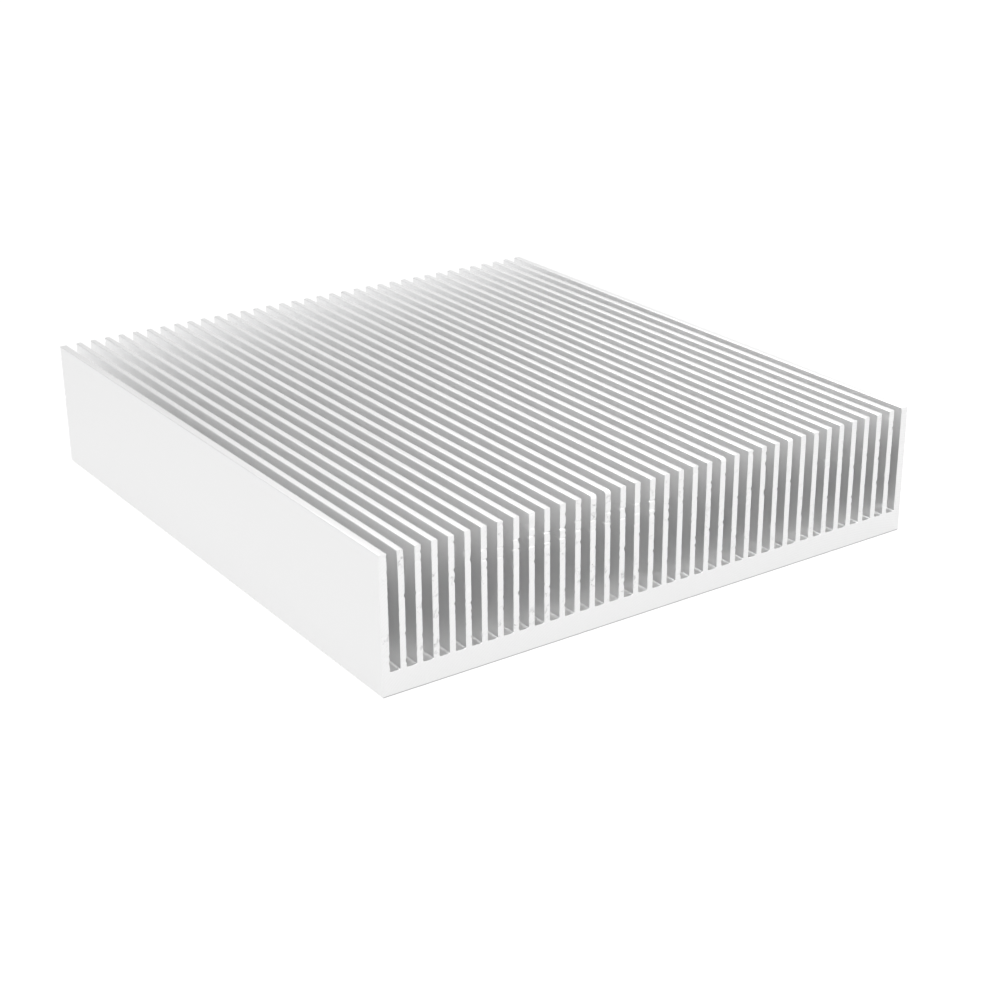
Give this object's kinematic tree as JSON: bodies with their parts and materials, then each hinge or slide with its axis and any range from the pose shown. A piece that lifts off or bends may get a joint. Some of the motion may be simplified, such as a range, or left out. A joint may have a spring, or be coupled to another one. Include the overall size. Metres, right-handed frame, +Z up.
{
  "type": "extruded heat sink",
  "caption": "Wide, flat extruded aluminium heat sink: a plain base under a dense comb of straight plate fins, sawn square at both ends.",
  "frame": {"origin": "centre of the flat underside of the base", "axes": "+X across the fins, +Y along the extrusion and the fins, +Z up from the underside to the fin tips"},
  "size_m": [0.183, 0.2, 0.04],
  "materials": {
    "mill_finish_aluminium": "mill finish, faint die lines along the extrusion, sawn ends"
  },
  "bodies": {
    "root": {"heat_sink": "mill_finish_aluminium"}
  },
  "joints": []
}
